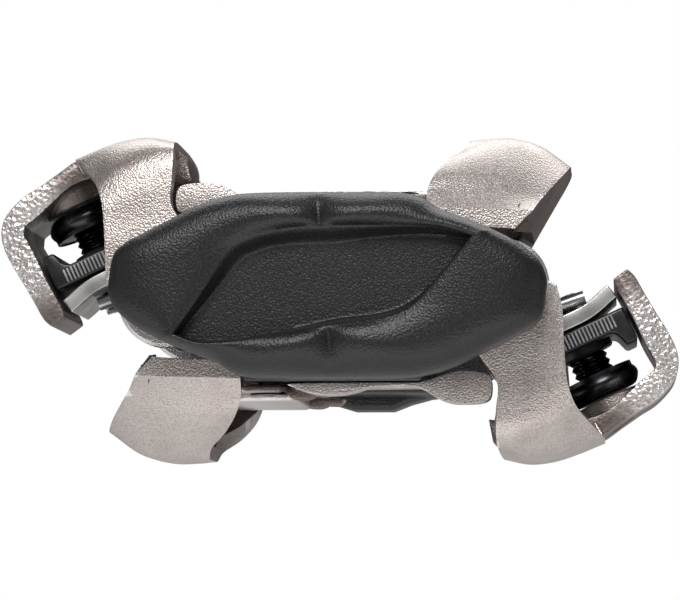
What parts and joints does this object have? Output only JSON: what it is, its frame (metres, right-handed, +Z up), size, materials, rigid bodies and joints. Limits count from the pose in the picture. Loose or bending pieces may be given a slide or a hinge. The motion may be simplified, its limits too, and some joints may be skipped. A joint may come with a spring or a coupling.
{
  "type": "clipless pedal",
  "caption": "Double-sided clipless bicycle pedal with sprung rear bindings, fixed front claws, a grained black end and a threaded axle.",
  "frame": {"origin": "centre of the axle's shoulder face, which seats on the crank arm, on the axle's axis", "axes": "+Y along the axle towards the crank, +X towards the toe on the upper side, +Z up with the cleat plates level"},
  "size_m": [0.0936, 0.0985, 0.0446],
  "materials": {
    "cast_steel": "nickel-plated cast steel, satin with a fine grain",
    "black_paint": "black paint with a fine leather-like grain",
    "black_steel": "black oxide, semi-gloss",
    "spindle_steel": "turned and ground steel",
    "bearing_steel": "polished",
    "spring_steel": "drawn wire, satin",
    "black_plastic": "moulded",
    "grey_plastic": "moulded",
    "rubber": "matt"
  },
  "bodies": {
    "spindle": {"axle": "spindle_steel", "cone_nut": "bearing_steel", "lock_nut": "bearing_steel"},
    "inner_balls": {"ball_ring_inner": "bearing_steel"},
    "outer_balls": {"ball_ring_outer": "bearing_steel"},
    "pedal": {"pedal_body": "black_paint", "bearing_sleeve": "bearing_steel", "plain_bush": "grey_plastic", "lock_bolt": "grey_plastic", "axle_seal": "rubber", "upper_front_claw": "cast_steel", "upper_claw_screw_outboard": "black_steel", "upper_claw_screw_inboard": "black_steel", "upper_pivot_pin": "spring_steel", "upper_torsion_spring_outboard": "spring_steel", "upper_torsion_spring_inboard": "spring_steel", "lower_front_claw": "cast_steel", "lower_claw_screw_outboard": "black_steel", "lower_claw_screw_inboard": "black_steel", "lower_pivot_pin": "spring_steel", "lower_torsion_spring_outboard": "spring_steel", "lower_torsion_spring_inboard": "spring_steel"},
    "upper_binding": {"upper_rear_binding": "cast_steel"},
    "upper_bolt": {"upper_adjusting_bolt": "black_steel"},
    "upper_nut": {"upper_adjusting_nut": "black_plastic", "upper_spring_plate": "cast_steel"},
    "lower_binding": {"lower_rear_binding": "cast_steel"},
    "lower_bolt": {"lower_adjusting_bolt": "black_steel"},
    "lower_nut": {"lower_adjusting_nut": "black_plastic", "lower_spring_plate": "cast_steel"}
  },
  "joints": [
    {"name": "pedal_spin", "type": "hinge", "parent": "spindle", "child": "pedal", "pos_m": [0, 0, 0], "axis": [0, 1, 0], "continuous": true},
    {"name": "inner_ball_ring_spin", "type": "hinge", "parent": "spindle", "child": "inner_balls", "pos_m": [0, 0, 0], "axis": [0, 1, 0], "continuous": true},
    {"name": "outer_ball_ring_spin", "type": "hinge", "parent": "spindle", "child": "outer_balls", "pos_m": [0, 0, 0], "axis": [0, 1, 0], "continuous": true},
    {"name": "upper_release", "type": "hinge", "parent": "pedal", "child": "upper_binding", "pos_m": [-0.023, -0.055, -0.001], "axis": [0, -1, 0], "range_deg": [0, 18], "stiffness_Nm_per_rad": 1, "springref_deg": -28.65, "deforming": ["upper_torsion_spring_outboard", "upper_torsion_spring_inboard"]},
    {"name": "upper_tension_bolt", "type": "hinge", "parent": "upper_binding", "child": "upper_bolt", "pos_m": [-0.0355, -0.055, 0.0106], "axis": [0.4226, 0, -0.9063], "range_deg": [-540, 540]},
    {"name": "upper_tension_nut", "type": "slide", "parent": "upper_binding", "child": "upper_nut", "axis": [0.4226, 0, -0.9063], "range_m": [-0.0015, 0.0015], "deforming": ["upper_torsion_spring_outboard", "upper_torsion_spring_inboard"]},
    {"name": "lower_release", "type": "hinge", "parent": "pedal", "child": "lower_binding", "pos_m": [0.023, -0.055, 0.001], "axis": [0, -1, 0], "range_deg": [0, 18], "stiffness_Nm_per_rad": 1, "springref_deg": -28.65, "deforming": ["lower_torsion_spring_outboard", "lower_torsion_spring_inboard"]},
    {"name": "lower_tension_bolt", "type": "hinge", "parent": "lower_binding", "child": "lower_bolt", "pos_m": [0.0355, -0.055, -0.0106], "axis": [-0.4226, 0, 0.9063], "range_deg": [-540, 540]},
    {"name": "lower_tension_nut", "type": "slide", "parent": "lower_binding", "child": "lower_nut", "axis": [-0.4226, 0, 0.9063], "range_m": [-0.0015, 0.0015], "deforming": ["lower_torsion_spring_outboard", "lower_torsion_spring_inboard"]}
  ],
  "couplings": [
    {"joint": "inner_ball_ring_spin", "follows": "pedal_spin", "ratio": 0.576},
    {"joint": "outer_ball_ring_spin", "follows": "pedal_spin", "ratio": 0.576},
    {"joint": "upper_tension_bolt", "follows": "upper_tension_nut", "rad_per_m": -6283.2},
    {"joint": "lower_tension_bolt", "follows": "lower_tension_nut", "rad_per_m": -6283.2}
  ]
}
